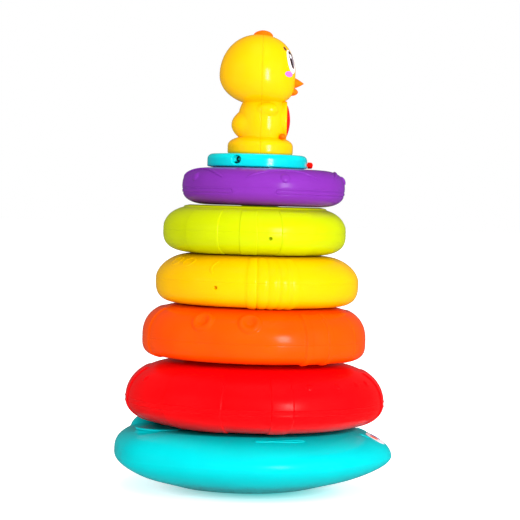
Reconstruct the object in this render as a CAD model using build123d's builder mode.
"""Stacking ring toy: weighted rocking base, tapered post, five hollow rings and a duck topper.

Frame: origin on the post's axis at the lowest point of the base, +Z up, +X the way the duck looks.
All sizes in millimetres.
"""

import os
from math import cos, radians, sin

from build123d import *

os.makedirs("parts", exist_ok=True)

# ---------------------------------------------------------------- driving dimensions
GAP = 0.3                 # air between stacked pieces
WALL = 2.4                # moulded shell wall
THIN = 1.8                # blow-moulded ring wall

# base, in plan: two long side arcs, a back arc, and three rounded corners
BASE_HALF = 103.0         # half length, back to nose
SIDE_R = 117.8
SIDE_X, SIDE_Y = -11.8, 19.1
BACK_R = 182.9
NOSE_R = 54.4
CORNER_R = 43.4
SEAM_Z = 27.3             # widest level, where the two base shells meet
CROWN_H = 28.2            # height of the full upper curve above the seam
SEAT_K = 0.735            # plan scale at which the upper curve is cut flat
FOOT_K = 0.2              # plan scale of the small flat underneath
LOWER_POWER, UPPER_POWER = 1.69, 2.13
BOWL_SHIFT = -3.5         # the underside's lowest point sits a little behind the post

# post
POST_FOOT_R, POST_TIP_R = 16.5, 13.2
POST_WALL = 2.0
POST_TOP_Z = 246.5

# rings: outer radius, bore radius, height, widest level, upper and lower shoulder radii, offset
RINGS = {
    "red_ring": dict(r=95.2, bore=21.5, h=48.4, eq=19.2, top=35.0, foot=31.0, x=0.0),
    "orange_ring": dict(r=82.1, bore=20.5, h=40.7, eq=16.8, top=25.5, foot=16.0, x=-1.7),
    "yellow_ring": dict(r=75.2, bore=19.5, h=37.4, eq=18.6, top=25.0, foot=14.0, x=-0.5),
    "green_ring": dict(r=67.8, bore=19.0, h=35.6, eq=16.7, top=25.0, foot=17.0, x=-3.4),
    "purple_ring": dict(r=60.3, bore=18.5, h=27.5, eq=12.6, top=16.0, foot=18.0, x=2.4),
}
BORE_ROUND = 6.0          # rounding where a ring's top and bottom turn into its bore
VENT_R = 0.7              # blowing-needle hole
# raised bands on each ring: start angle, sweep, height
BANDS = {
    "red_ring": [(262, 22, 0.9), (292, 30, 0.9), (52, 30, 0.9), (140, 26, 0.9), (206, 28, 0.9)],
    "orange_ring": [(330, 42, 0.8), (168, 42, 0.8)],
    "yellow_ring": [(259 + 6.4 * i, 3.6, 1.0) for i in range(6)],
    "green_ring": [(232, 18, 0.6), (276, 16, 0.6), (40, 18, 0.6), (130, 18, 0.6)],
    "purple_ring": [(275, 22, 0.6), (95, 22, 0.6)],
}
VENTS = {"red_ring": 90, "orange_ring": 120, "yellow_ring": 246, "green_ring": 281, "purple_ring": 80}

# topper disc
TOPPER_X = -2.8           # the topper sits slightly behind the post's axis
DISC_R = 37.0
DISC_Z = 238.9
DISC_TOP_Z = 250.6
DISC_WALL = 2.0
PLATE_R = 34.7
PLATE_T = 1.6
SOCKET_R = 17.5
SHELF_Z = 250.0           # underside of the battery shelf
DOOR_R = 17.0
DOOR_T = 2.0
DOOR_SCREW_X = 14.3
SIDE_SCREW_ANGLES = (247.6, 112.4)
SIDE_SCREW_Z = 244.4

# batteries and electronics, placed from the topper's own axis
BOX_X = 2.6
BOX_DEPTH, BOX_WIDTH, BOX_WALL = 13.4, 24.0, 1.2
BOX_Z, BOX_TOP_Z = 251.6, 298.9
CELL_R, CELL_H, CELL_PITCH = 5.25, 43.7, 10.7
BOARD_X, BOARD_T = 13.0, 1.2
SPEAKER_R, SPEAKER_T, SPEAKER_X, SPEAKER_Z = 13.4, 4.6, -22.0, 309.5

# duck, placed from the topper's own axis
SHELL = 2.0
HEAD_X, HEAD_Z, HEAD_R, HEAD_UP, HEAD_DOWN = -1.7, 305.5, 28.6, 32.0, 21.3
NECK_X, NECK_R = 2.6, 16.4
BODY_X, BODY_R = 3.2, 19.0
BODY_Z0, BODY_Z1 = 258.5, 288.5
CUSHION_X, CUSHION_R, CUSHION_H = 1.3, 24.1, 11.2
TAIL_R = 8.0
BUTTON_Z, BUTTON_HALF_H, BUTTON_HALF_W = 274.3, 12.2, 9.5
BUTTON_FACE_X = 23.5
RIM_X = 22.6
POCKET_X = 20.4
FLANGE = 0.6
FIT = 0.35                # clearance round the button and the switch knob
BUTTON_TRAVEL = 1.2
DUCK_SCREWS = [(14.0, 320.0), (-14.0, 320.0), (17.6, 256.3), (-17.6, 256.3)]

# switch knob
KNOB_HALF_W = 3.0
KNOB_TRAVEL = 4.0
KNOB_Z0, KNOB_Z1 = 240.8, 243.0
KNOB_REACH = 41.2


# ---------------------------------------------------------------- helpers
def save(part, name):
    part.label = name
    export_step(part, f"parts/{name}.step")


def level(z, x=TOPPER_X):
    """Horizontal plane at height z, centred on the topper's axis unless told otherwise."""
    return Plane((x, 0, z))


def facing_x(x):
    """Upright plane that looks towards +X, x in front of the topper's axis."""
    return Plane((TOPPER_X + x, 0, 0), x_dir=(0, 1, 0), z_dir=(1, 0, 0))


def upright(x, z, angle=0.0):
    """Upright plane through a vertical axis, with its own x pointing outwards at the angle."""
    a = radians(angle)
    return Plane((x, 0, z), x_dir=(cos(a), sin(a), 0), z_dir=(sin(a), -cos(a), 0))


def screw(plane, head_r, head_t, shank_r, shank_l):
    """One pan-head screw, head outwards along the plane's normal, with a cross recess."""
    with BuildPart() as one:
        with BuildSketch(plane):
            Circle(head_r)
        extrude(amount=head_t)
        fillet(one.faces().sort_by(Axis(plane.origin, plane.z_dir))[-1].edges(), head_t * 0.45)
        with BuildSketch(plane.offset(head_t)):
            Rectangle(head_r * 1.2, head_r * 0.3)
            Rectangle(head_r * 0.3, head_r * 1.2)
        extrude(amount=-head_t * 0.6, mode=Mode.SUBTRACT)
        with BuildSketch(plane):
            Circle(shank_r)
        extrude(amount=-shank_l)
    return one.part


def screw_group(name, planes, head_r, head_t, shank_r, shank_l):
    with BuildPart() as group:
        for plane in planes:
            add(screw(plane, head_r, head_t, shank_r, shank_l))
    save(group.part, name)


# ---------------------------------------------------------------- base
def base_outline(plane, scale, inset):
    """The base's plan at one level: three arcs met by three rounded corners."""
    with BuildSketch(plane) as outline:
        for side in (1, -1):
            with Locations((SIDE_X * scale, -side * SIDE_Y * scale)):
                Circle(SIDE_R * scale - inset, mode=Mode.ADD if side == 1 else Mode.INTERSECT)
        with Locations(((BACK_R - BASE_HALF) * scale, 0)):
            Circle(BACK_R * scale - inset, mode=Mode.INTERSECT)
        nose = outline.vertices().sort_by(Axis.X)[-1]
        fillet(nose, NOSE_R * scale - inset)
        corners = outline.vertices().sort_by(Axis.X)[:2]
        fillet(corners, CORNER_R * scale - inset)
    return outline.sketch


def curve_height(scale, power):
    """Height, as a share of the whole, that the dome has reached at this plan scale."""
    return (1 - scale**power) ** (1 / power)


def bowl_level(scale, inset):
    share = curve_height(scale, LOWER_POWER) / curve_height(FOOT_K, LOWER_POWER)
    return Plane((BOWL_SHIFT * share, 0, SEAM_Z - (SEAM_Z - inset) * share))


def crown_level(scale, inset):
    return Plane((0, 0, SEAM_Z + (CROWN_H - inset) * curve_height(scale, UPPER_POWER)))


BOWL_SCALES = (1.0, 0.985, 0.94, 0.86, 0.74, 0.58, 0.38, FOOT_K)
CROWN_SCALES = (1.0, 0.985, 0.95, 0.89, 0.82, SEAT_K)
SEAT_Z = crown_level(SEAT_K, 0).origin.Z
BASE_SCREWS = [(46.0, 38.0), (46.0, -38.0), (-52.0, 42.0), (-52.0, -42.0)]
BASE_BOSS_R = 5.0
WEIGHT_Z, WEIGHT_T, WEIGHT_R = 9.0, 9.0, 34.0
WEIGHT_SCREW_R = 26.0
COLLAR_R, COLLAR_T = 29.0, 5.0
FLANGE_R, FLANGE_T = 27.0, 2.4
POST_SCREW_R = 22.5
COLLAR_Z = SEAT_Z - WALL - COLLAR_T


def base_half(levels, scales, inset):
    with BuildPart() as half:
        loft([base_outline(levels(scale, inset), scale, inset) for scale in scales])
    return half.part


# hollow of each half, less the columns that stay solid inside it
with BuildPart() as bowl_hollow:
    add(base_half(bowl_level, BOWL_SCALES, WALL))
    with BuildSketch(Plane.XY):
        with Locations(*BASE_SCREWS):
            Circle(BASE_BOSS_R)
    extrude(amount=SEAM_Z, mode=Mode.SUBTRACT)
    with BuildSketch(Plane.XY):
        with PolarLocations(WEIGHT_SCREW_R, 3):
            Circle(4.0)
    extrude(amount=WEIGHT_Z, mode=Mode.SUBTRACT)

with BuildPart() as base_bottom_shell:
    add(base_half(bowl_level, BOWL_SCALES, 0))
    add(bowl_hollow.part, mode=Mode.SUBTRACT)
    with BuildSketch(Plane.XY):
        with Locations(*BASE_SCREWS):
            Circle(3.6)
    extrude(amount=SEAM_Z - 12, mode=Mode.SUBTRACT)
    with BuildSketch(Plane.XY.offset(SEAM_Z - 13)):
        with Locations(*BASE_SCREWS):
            Circle(1.7)
    extrude(amount=14, mode=Mode.SUBTRACT)
    with BuildSketch(Plane.XY.offset(WEIGHT_Z)):
        with PolarLocations(WEIGHT_SCREW_R, 3):
            Circle(1.3)
    extrude(amount=-4.5, mode=Mode.SUBTRACT)
save(base_bottom_shell.part, "base_bottom_shell")

with BuildPart() as crown_hollow:
    add(base_half(crown_level, CROWN_SCALES, WALL))
    with BuildSketch(Plane.XY.offset(SEAM_Z)):
        with Locations(*BASE_SCREWS):
            Circle(BASE_BOSS_R)
    extrude(amount=CROWN_H, mode=Mode.SUBTRACT)
    with BuildSketch(Plane.XY.offset(COLLAR_Z)):
        Circle(COLLAR_R)
    extrude(amount=COLLAR_T + WALL, mode=Mode.SUBTRACT)

with BuildPart() as base_top_shell:
    add(base_half(crown_level, CROWN_SCALES, 0))
    add(crown_hollow.part, mode=Mode.SUBTRACT)
    with BuildSketch(Plane.XY.offset(COLLAR_Z)):
        Circle(POST_FOOT_R)
    extrude(amount=CROWN_H, mode=Mode.SUBTRACT)
    with BuildSketch(Plane.XY.offset(SEAM_Z)):
        with Locations(*BASE_SCREWS):
            Circle(1.3)
    extrude(amount=12, mode=Mode.SUBTRACT)
    with BuildSketch(Plane.XY.offset(COLLAR_Z)):
        with PolarLocations(POST_SCREW_R, 3):
            Circle(1.3)
    extrude(amount=COLLAR_T, mode=Mode.SUBTRACT)
save(base_top_shell.part, "base_top_shell")

with BuildPart() as counterweight:
    with BuildSketch(Plane.XY.offset(WEIGHT_Z)):
        Circle(WEIGHT_R)
        with PolarLocations(WEIGHT_SCREW_R, 3):
            Circle(1.8, mode=Mode.SUBTRACT)
    extrude(amount=WEIGHT_T)
    chamfer(counterweight.faces().sort_by(Axis.Z)[0].outer_wire().edges(), 3.0)
save(counterweight.part, "counterweight")

screw_group(
    "base_screws",
    [Plane((x, y, SEAM_Z - 12), x_dir=(1, 0, 0), z_dir=(0, 0, -1)) for x, y in BASE_SCREWS],
    head_r=3.0, head_t=2.0, shank_r=1.3, shank_l=22.0,
)
weight_spots = PolarLocations(WEIGHT_SCREW_R, 3).locations
screw_group(
    "counterweight_screws",
    [Plane((spot.position.X, spot.position.Y, WEIGHT_Z + WEIGHT_T)) for spot in weight_spots],
    head_r=3.2, head_t=2.0, shank_r=1.3, shank_l=WEIGHT_T + 4.0,
)

# ---------------------------------------------------------------- post
with BuildPart() as post:
    with BuildSketch(Plane.XY.offset(COLLAR_Z)):
        Circle(POST_FOOT_R)
    with BuildSketch(Plane.XY.offset(SEAT_Z)):
        Circle(POST_FOOT_R)
    with BuildSketch(Plane.XY.offset(POST_TOP_Z)):
        Circle(POST_TIP_R)
    loft(ruled=True)
    fillet(post.faces().sort_by(Axis.Z)[-1].edges(), 4.0)
    with BuildSketch(Plane.XY.offset(COLLAR_Z - FLANGE_T)):
        Circle(FLANGE_R)
        with PolarLocations(POST_SCREW_R, 3):
            Circle(1.6, mode=Mode.SUBTRACT)
    extrude(amount=FLANGE_T)
    with BuildSketch(Plane.XY.offset(COLLAR_Z - FLANGE_T)):
        Circle(POST_FOOT_R - POST_WALL)
    with BuildSketch(Plane.XY.offset(POST_TOP_Z - 2 * POST_WALL)):
        Circle(POST_TIP_R - POST_WALL)
    loft(ruled=True, mode=Mode.SUBTRACT)
save(post.part, "post")

post_spots = PolarLocations(POST_SCREW_R, 3).locations
screw_group(
    "post_screws",
    [
        Plane((s.position.X, s.position.Y, COLLAR_Z - FLANGE_T), x_dir=(1, 0, 0), z_dir=(0, 0, -1))
        for s in post_spots
    ],
    head_r=3.0, head_t=2.0, shank_r=1.3, shank_l=FLANGE_T + COLLAR_T - 0.5,
)


# ---------------------------------------------------------------- rings
def ring_section(plane, ring, inset=0.0, proud=0.0):
    """Half section of a ring: flat top and bottom, round shoulders, rounded bore.

    The inset moves the whole outline inwards. A proud section stands out at its side and is
    buried by the same amount at its top and bottom.
    """
    outer, bore = ring["r"] - inset + proud, ring["bore"] + inset
    low, high, mid = inset + proud, ring["h"] - inset - proud, ring["eq"]
    top, foot = ring["top"] - inset + proud, ring["foot"] - inset + proud
    turn = BORE_ROUND - inset
    with BuildSketch(plane) as section:
        with BuildLine():
            Line((bore + turn, low), (outer - foot, low))
            EllipticalCenterArc((outer - foot, mid), foot, mid - low, start_angle=-90, arc_size=90)
            EllipticalCenterArc((outer - top, mid), top, high - mid, start_angle=0, arc_size=90)
            Line((outer - top, high), (bore + turn, high))
            CenterArc((bore + turn, high - turn), turn, 90, 90)
            Line((bore, high - turn), (bore, low + turn))
            CenterArc((bore + turn, low + turn), turn, 180, 90)
        make_face()
    return section.sketch


def make_ring(name, ring, z):
    axis = Axis((ring["x"], 0, 0), (0, 0, 1))
    with BuildPart() as body:
        revolve(ring_section(upright(ring["x"], z), ring), axis=axis)
        for start, sweep, height in BANDS[name]:
            band = ring_section(upright(ring["x"], z, start), ring, proud=height)
            revolve(band, axis=axis, revolution_arc=sweep)
        revolve(ring_section(upright(ring["x"], z), ring, inset=THIN), axis=axis, mode=Mode.SUBTRACT)
        a = radians(VENTS[name])
        start = (ring["x"] + (ring["r"] - 8) * cos(a), (ring["r"] - 8) * sin(a), z + ring["eq"])
        with BuildSketch(Plane(start, z_dir=(cos(a), sin(a), 0))):
            Circle(VENT_R)
        extrude(amount=12, mode=Mode.SUBTRACT)
    save(body.part, name)


ring_z = SEAT_Z + GAP
for ring_name, ring_sizes in RINGS.items():
    make_ring(ring_name, ring_sizes, ring_z)
    ring_z += ring_sizes["h"] + GAP

# ---------------------------------------------------------------- topper disc
KNOB_SLOT = KNOB_HALF_W + KNOB_TRAVEL / 2 + FIT


def side_plane(angle, radius):
    """Upright plane on the disc's side, looking straight out at the angle."""
    a = radians(angle)
    spot = (TOPPER_X + radius * cos(a), radius * sin(a), SIDE_SCREW_Z)
    return Plane(spot, x_dir=(0, 0, 1), z_dir=(cos(a), sin(a), 0))


with BuildPart() as topper_disc:
    with BuildSketch(level(DISC_Z + GAP)):
        Circle(DISC_R)
    extrude(amount=DISC_TOP_Z - DISC_Z - GAP)
    fillet(topper_disc.edges().group_by(Axis.Z)[-1], 3.0)
    fillet(topper_disc.edges().group_by(Axis.Z)[0], 1.0)
    with BuildSketch(level(DISC_Z)):
        Circle(DISC_R - DISC_WALL)
    extrude(amount=DISC_TOP_Z - DISC_Z - DISC_WALL, mode=Mode.SUBTRACT)
    with BuildSketch(level(DISC_Z)):
        Circle(SOCKET_R + 1.9)
    extrude(amount=20, mode=Mode.SUBTRACT)
    for screw_angle in SIDE_SCREW_ANGLES:
        with BuildSketch(side_plane(screw_angle, 31.0)):
            Circle(3.9)
        extrude(amount=5.0)
        with BuildSketch(side_plane(screw_angle, 32.5)):
            Circle(2.8)
        extrude(amount=6.0, mode=Mode.SUBTRACT)
        with BuildSketch(side_plane(screw_angle, 30.0)):
            Circle(1.2)
        extrude(amount=4.0, mode=Mode.SUBTRACT)
    with BuildSketch(facing_x(DISC_R - 4)):
        with Locations((0, (KNOB_Z0 + KNOB_Z1) / 2)):
            Rectangle(2 * KNOB_SLOT, KNOB_Z1 - KNOB_Z0 + 2 * FIT)
    extrude(amount=8, mode=Mode.SUBTRACT)
save(topper_disc.part, "topper_disc")

with BuildPart() as disc_bottom_plate:
    with BuildSketch(level(DISC_Z)):
        Circle(PLATE_R)
        Circle(SOCKET_R, mode=Mode.SUBTRACT)
    extrude(amount=PLATE_T)
    with BuildSketch(level(DISC_Z)):
        Circle(SOCKET_R + 1.6)
        Circle(SOCKET_R, mode=Mode.SUBTRACT)
    extrude(amount=SHELF_Z - DISC_Z)
    with BuildSketch(level(SHELF_Z)):
        Circle(SOCKET_R + 1.6)
        with Locations((BOX_X, 0)):
            Rectangle(BOX_DEPTH - 2 * BOX_WALL, BOX_WIDTH - 2 * BOX_WALL, mode=Mode.SUBTRACT)
    extrude(amount=BOX_Z - SHELF_Z)
    with BuildSketch(level(BOX_Z)):
        with Locations((DOOR_SCREW_X, 0)):
            Circle(2.8)
    extrude(amount=6)
    with BuildSketch(level(SHELF_Z)):
        with Locations((DOOR_SCREW_X, 0)):
            Circle(1.0)
    extrude(amount=6.5, mode=Mode.SUBTRACT)
    for screw_angle in SIDE_SCREW_ANGLES:
        with BuildSketch(level(DISC_Z + PLATE_T)):
            with PolarLocations(26.8, 1, start_angle=screw_angle):
                Rectangle(6.4, 6)
        extrude(amount=SIDE_SCREW_Z + 3 - DISC_Z - PLATE_T)
        with BuildSketch(side_plane(screw_angle, 24.2)):
            Circle(1.0)
        extrude(amount=7.0, mode=Mode.SUBTRACT)
save(disc_bottom_plate.part, "disc_bottom_plate")

screw_group(
    "disc_side_screws",
    [side_plane(angle, 32.5) for angle in SIDE_SCREW_ANGLES],
    head_r=2.4, head_t=1.6, shank_r=1.0, shank_l=8.0,
)

# ---------------------------------------------------------------- battery compartment
with BuildPart() as battery_door:
    with BuildSketch(level(SHELF_Z - DOOR_T)):
        Circle(DOOR_R)
    extrude(amount=DOOR_T)
    chamfer(battery_door.edges().group_by(Axis.Z)[0], 0.5)
    with BuildSketch(level(SHELF_Z - DOOR_T)):
        with Locations((DOOR_SCREW_X, 0)):
            Circle(2.3)
    extrude(amount=1.0, mode=Mode.SUBTRACT)
    with BuildSketch(level(SHELF_Z - DOOR_T)):
        with Locations((DOOR_SCREW_X, 0)):
            Circle(1.2)
        with Locations((-11.5, 0)):
            SlotOverall(9, 2.2, rotation=90)
    extrude(amount=DOOR_T, mode=Mode.SUBTRACT)
save(battery_door.part, "battery_door")

door_screw_spot = (TOPPER_X + DOOR_SCREW_X, 0, SHELF_Z - DOOR_T + 1.0)
screw_group(
    "battery_door_screw",
    [Plane(door_screw_spot, x_dir=(1, 0, 0), z_dir=(0, 0, -1))],
    head_r=2.1, head_t=0.9, shank_r=1.0, shank_l=6.0,
)

with BuildPart() as battery_box:
    with BuildSketch(level(BOX_Z)):
        with Locations((BOX_X, 0)):
            RectangleRounded(BOX_DEPTH, BOX_WIDTH, 2.0)
    extrude(amount=BOX_TOP_Z - BOX_Z)
    with BuildSketch(level(BOX_Z)):
        with Locations((BOX_X, 0)):
            Rectangle(BOX_DEPTH - 2 * BOX_WALL, BOX_WIDTH - 2 * BOX_WALL)
    extrude(amount=BOX_TOP_Z - BOX_Z - BOX_WALL, mode=Mode.SUBTRACT)
save(battery_box.part, "battery_box")

CELL_Z = BOX_Z + 1.0
with BuildPart() as batteries:
    for side, start in ((-1, CELL_Z), (1, CELL_Z)):
        with BuildSketch(level(start)):
            with Locations((BOX_X, side * CELL_PITCH / 2)):
                Circle(CELL_R)
        extrude(amount=CELL_H)
    with BuildSketch(level(CELL_Z + CELL_H)):
        with Locations((BOX_X, CELL_PITCH / 2)):
            Circle(1.9)
    extrude(amount=0.8)
    with BuildSketch(level(CELL_Z - 0.8)):
        with Locations((BOX_X, -CELL_PITCH / 2)):
            Circle(1.9)
    extrude(amount=0.8)
save(batteries.part, "batteries")

with BuildPart() as battery_contacts:
    with BuildSketch(level(SHELF_Z)):
        with Locations((BOX_X, 0)):
            Rectangle(8.0, 18.0)
    extrude(amount=0.5)
    with BuildSketch(level(SHELF_Z + 0.5)):
        with Locations((BOX_X, CELL_PITCH / 2)):
            Circle(2.6)
    extrude(amount=CELL_Z - SHELF_Z - 0.5)
    with BuildSketch(level(BOX_TOP_Z - BOX_WALL)):
        with Locations((BOX_X, CELL_PITCH / 2), (BOX_X, -CELL_PITCH / 2)):
            Rectangle(8.0, 7.0)
    extrude(amount=-0.5)
save(battery_contacts.part, "battery_contacts")


# ---------------------------------------------------------------- duck
OVAL = 0.5523             # handle length that makes a Bezier curve a quarter of an oval


def quarter_oval(wide, tall):
    return Bezier((wide, 0), (wide, OVAL * tall), (OVAL * wide, tall), (0, tall))


def duck_solid(inset):
    """The duck as one closed form: cushion foot, body, neck and head, all drawn in by the inset."""
    with BuildPart() as form:
        with BuildSketch(Plane((TOPPER_X + CUSHION_X, 0, DISC_TOP_Z), x_dir=(1, 0, 0), z_dir=(0, -1, 0))):
            with BuildLine():
                Line((0, 0), (CUSHION_R - inset - 2, 0))
                EllipticalCenterArc(
                    (CUSHION_R - inset - 2, CUSHION_H * 0.45), 2, CUSHION_H * 0.45,
                    start_angle=-90, arc_size=90,
                )
                EllipticalCenterArc(
                    (CUSHION_R - inset - 7, CUSHION_H * 0.45), 7, CUSHION_H * 0.55 - inset,
                    start_angle=0, arc_size=90,
                )
                Line((CUSHION_R - inset - 7, CUSHION_H - inset), (0, CUSHION_H - inset))
                Line((0, CUSHION_H - inset), (0, 0))
            make_face()
        revolve(axis=Axis((TOPPER_X + CUSHION_X, 0, 0), (0, 0, 1)))
        with BuildSketch(Plane((TOPPER_X + BODY_X, 0, 0), x_dir=(1, 0, 0), z_dir=(0, -1, 0))):
            with BuildLine():
                Line((0, BODY_Z0), (17.4 - inset, BODY_Z0))
                ThreePointArc(
                    (17.4 - inset, BODY_Z0),
                    (BODY_R - inset, (BODY_Z0 + BODY_Z1) / 2),
                    (NECK_R - inset, BODY_Z1),
                )
                Line((NECK_R - inset, BODY_Z1), (0, BODY_Z1))
                Line((0, BODY_Z1), (0, BODY_Z0))
            make_face()
        revolve(axis=Axis((TOPPER_X + BODY_X, 0, 0), (0, 0, 1)))
        up, down = HEAD_UP - inset, HEAD_DOWN - inset
        with BuildSketch(Plane((TOPPER_X + HEAD_X, 0, HEAD_Z), x_dir=(1, 0, 0), z_dir=(0, -1, 0))):
            with BuildLine():
                quarter_oval(HEAD_R - inset, up)
                Line((0, up), (0, -down))
                quarter_oval(HEAD_R - inset, -down)
            make_face()
        revolve(axis=Axis((TOPPER_X + HEAD_X, 0, 0), (0, 0, 1)))
    return form.part


with BuildPart() as duck_form:
    add(duck_solid(0))
    with Locations((TOPPER_X - 12.0, 0, 272.5)):
        Sphere(TAIL_R)

with BuildPart() as duck_hollow:
    add(duck_solid(SHELL))
    with BuildSketch(level(DISC_TOP_Z)):
        with Locations((NECK_X, 0)):
            Circle(NECK_R - SHELL)
    extrude(amount=BODY_Z1 + 3 - DISC_TOP_Z)
    with BuildSketch(level(DISC_TOP_Z)):
        Circle(SOCKET_R + 1.9)
    extrude(amount=BOX_Z - DISC_TOP_Z + GAP)
    with BuildSketch(facing_x(-40)):
        with Locations(*DUCK_SCREWS):
            Circle(2.7)
    extrude(amount=80, mode=Mode.SUBTRACT)
    with BuildSketch(facing_x(-40)):
        with Locations((0, SPEAKER_Z)):
            Circle(SPEAKER_R + 1.6)
            Circle(SPEAKER_R + 0.1, mode=Mode.SUBTRACT)
    extrude(amount=40 + SPEAKER_X + SPEAKER_T, mode=Mode.SUBTRACT)

with BuildPart() as duck_back_shell:
    add(duck_form.part)
    add(duck_hollow.part, mode=Mode.SUBTRACT)
    split(bisect_by=facing_x(0), keep=Keep.BOTTOM)
    with BuildSketch(facing_x(-5)):
        with Locations(*DUCK_SCREWS):
            Circle(2.3)
    extrude(amount=-40, mode=Mode.SUBTRACT)
    with BuildSketch(facing_x(0)):
        with Locations(*DUCK_SCREWS):
            Circle(1.2)
    extrude(amount=-8, mode=Mode.SUBTRACT)
    with BuildSketch(facing_x(-24)):
        with Locations((0, SPEAKER_Z)):
            Circle(1.1)
            with PolarLocations(5.0, 6):
                Circle(1.1)
    extrude(amount=-10, mode=Mode.SUBTRACT)
save(duck_back_shell.part, "duck_back_shell")

with BuildPart() as duck_front_shell:
    add(duck_form.part)
    add(duck_hollow.part, mode=Mode.SUBTRACT)
    split(bisect_by=facing_x(0), keep=Keep.TOP)
    with BuildSketch(facing_x(17)):
        with Locations((0, BUTTON_Z)):
            Ellipse(BUTTON_HALF_W + 2.1, BUTTON_HALF_H + 2.1)
    extrude(amount=RIM_X - 17)
    with BuildSketch(facing_x(12)):
        with Locations((0, BUTTON_Z)):
            Ellipse(BUTTON_HALF_W + 0.9, BUTTON_HALF_H + 0.9)
    extrude(amount=POCKET_X - 12, mode=Mode.SUBTRACT)
    with BuildSketch(facing_x(POCKET_X)):
        with Locations((0, BUTTON_Z)):
            Ellipse(BUTTON_HALF_W + 0.3, BUTTON_HALF_H + 0.3)
    extrude(amount=6, mode=Mode.SUBTRACT)
    with BuildSketch(facing_x(0)):
        with Locations(*DUCK_SCREWS):
            Circle(1.0)
    extrude(amount=10, mode=Mode.SUBTRACT)
save(duck_front_shell.part, "duck_front_shell")

screw_group(
    "duck_screws",
    [
        Plane((TOPPER_X - 5, y, z), x_dir=(0, 1, 0), z_dir=(-1, 0, 0))
        for y, z in DUCK_SCREWS
    ],
    head_r=2.1, head_t=1.5, shank_r=1.0, shank_l=14.5,
)


def bump(centre, radii):
    """A solid-coloured trim piece: an ellipsoid cut back to the duck's surface."""
    with BuildPart() as piece:
        Sphere(1.0)
        scale(by=radii)
    with BuildPart() as trim:
        add(piece.part.moved(Location((TOPPER_X + centre[0], centre[1], centre[2]))))
        add(duck_form.part, mode=Mode.SUBTRACT)
    return trim.part


save(bump((1.5, 0, 335.4), (6.0, 4.6, 5.4)), "duck_tuft")
save(bump((24.0, 0, 302.2), (8.7, 6.4, 3.7)), "upper_beak")
save(bump((22.5, 0, 296.2), (5.8, 4.8, 2.4)), "lower_beak")
with BuildPart() as duck_feet:
    for side in (-1, 1):
        add(bump((17.5, side * 12.6, 262.8), (4.2, 3.2, 1.9)))
save(duck_feet.part, "duck_feet")

# ---------------------------------------------------------------- button and electronics
with BuildPart() as belly_button:
    with BuildSketch(facing_x(POCKET_X - 1.4)):
        with Locations((0, BUTTON_Z)):
            Ellipse(BUTTON_HALF_W + FLANGE, BUTTON_HALF_H + FLANGE)
    extrude(amount=1.1)
    with BuildSketch(facing_x(POCKET_X - 1.4)):
        with Locations((0, BUTTON_Z)):
            Ellipse(BUTTON_HALF_W, BUTTON_HALF_H)
    extrude(amount=BUTTON_FACE_X - POCKET_X + 1.4)
    fillet(belly_button.faces().sort_by(Axis.X)[-1].edges(), 0.9)
save(belly_button.part, "belly_button")

with BuildPart() as circuit_board:
    with BuildSketch(facing_x(BOARD_X)):
        with Locations((0, BUTTON_Z)):
            RectangleRounded(18, 24, 1.5)
    extrude(amount=BOARD_T)
save(circuit_board.part, "circuit_board")

SWITCH_X = BOARD_X + BOARD_T
with BuildPart() as tact_switch:
    with BuildSketch(facing_x(SWITCH_X)):
        with Locations((0, BUTTON_Z)):
            Rectangle(6, 6)
    extrude(amount=2.0)
save(tact_switch.part, "tact_switch")

DOME_TOP_X = POCKET_X - 1.4 - BUTTON_TRAVEL - 0.1
with BuildPart() as button_dome:
    with BuildSketch(facing_x(SWITCH_X + 2.0)):
        with Locations((0, BUTTON_Z)):
            Circle(2.6)
    extrude(amount=DOME_TOP_X - SWITCH_X - 2.0, taper=15)
save(button_dome.part, "button_dome")

with BuildPart() as sound_chip:
    with BuildSketch(facing_x(SWITCH_X)):
        with Locations((0, BUTTON_Z - 8.0)):
            RectangleRounded(7, 5, 1.0)
    extrude(amount=1.2)
save(sound_chip.part, "sound_chip")

with BuildPart() as led:
    with BuildSketch(Plane((TOPPER_X + BOARD_X + 0.6, 0, BUTTON_Z + 12))):
        Circle(2.5)
    extrude(amount=5.0)
    fillet(led.faces().sort_by(Axis.Z)[-1].edges(), 2.4)
save(led.part, "led")

with BuildPart() as speaker:
    with BuildSketch(facing_x(SPEAKER_X)):
        with Locations((0, SPEAKER_Z)):
            Circle(SPEAKER_R)
    extrude(amount=1.6)
    with BuildSketch(facing_x(SPEAKER_X + 1.6)):
        with Locations((0, SPEAKER_Z)):
            Circle(SPEAKER_R - 4)
    extrude(amount=SPEAKER_T - 1.6)
    with BuildSketch(facing_x(SPEAKER_X)):
        with Locations((0, SPEAKER_Z)):
            Circle(SPEAKER_R - 2.5)
            Circle(4.0, mode=Mode.SUBTRACT)
    extrude(amount=0.8, mode=Mode.SUBTRACT)
save(speaker.part, "speaker")

KNOB_Y = -KNOB_TRAVEL / 2
with BuildPart() as power_switch:
    with BuildSketch(level(DISC_Z + PLATE_T)):
        with Locations((29.4, 0)):
            Rectangle(4.6, 10)
    extrude(amount=4.0)
save(power_switch.part, "power_switch")

with BuildPart() as switch_knob:
    with BuildSketch(facing_x(32.1)):
        with Locations((KNOB_Y, (KNOB_Z0 + KNOB_Z1) / 2)):
            Rectangle(2 * KNOB_HALF_W + 4, KNOB_Z1 - KNOB_Z0)
    extrude(amount=0.9)
    with BuildSketch(facing_x(33.0)):
        with Locations((KNOB_Y, (KNOB_Z0 + KNOB_Z1) / 2)):
            Rectangle(2 * KNOB_HALF_W, KNOB_Z1 - KNOB_Z0)
    extrude(amount=KNOB_REACH - 33.0)
    fillet(switch_knob.faces().sort_by(Axis.X)[-1].edges(), 0.8)
save(switch_knob.part, "switch_knob")
